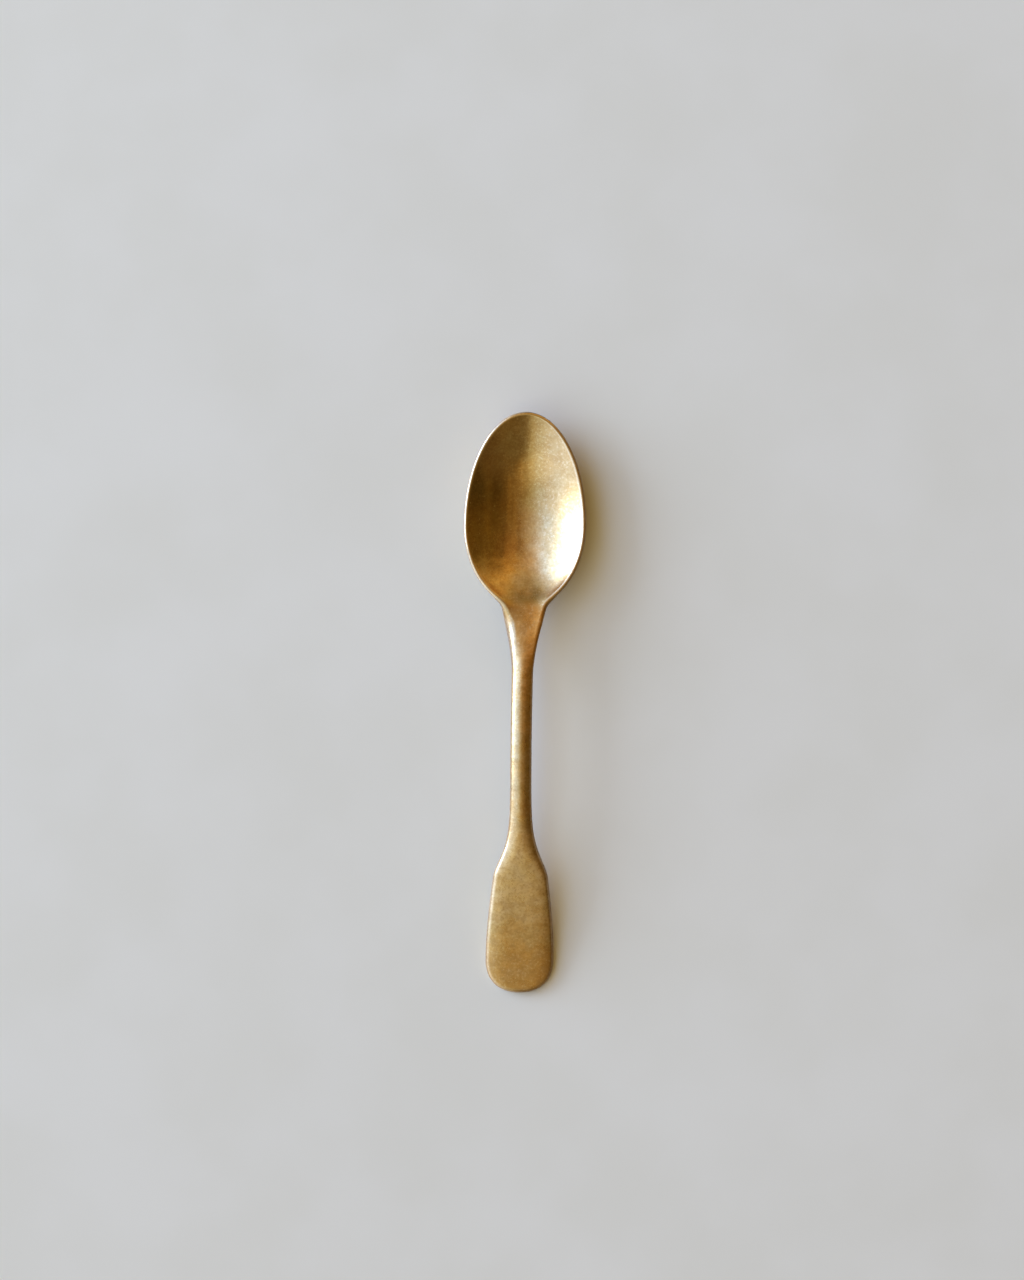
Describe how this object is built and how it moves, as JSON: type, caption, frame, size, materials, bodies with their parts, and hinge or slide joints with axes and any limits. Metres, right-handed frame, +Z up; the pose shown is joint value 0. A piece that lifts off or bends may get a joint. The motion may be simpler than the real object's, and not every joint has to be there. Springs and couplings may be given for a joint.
{
  "type": "coffee spoon",
  "caption": "Small brass coffee spoon lying face up, with an oval dished bowl, a thick neck, a slender arched stem and a flat flared handle end, for stirring and spooning.",
  "frame": {"origin": "on the table, under the centre of the spoon's bounding box", "axes": "+Z up out of the bowl, +Y along the spoon towards the bowl's tip, +X across the bowl"},
  "size_m": [0.0262, 0.125, 0.0106],
  "materials": {
    "brass": "satin, lightly aged, with fine scratches"
  },
  "bodies": {
    "root": {"spoon": "brass"}
  },
  "joints": []
}
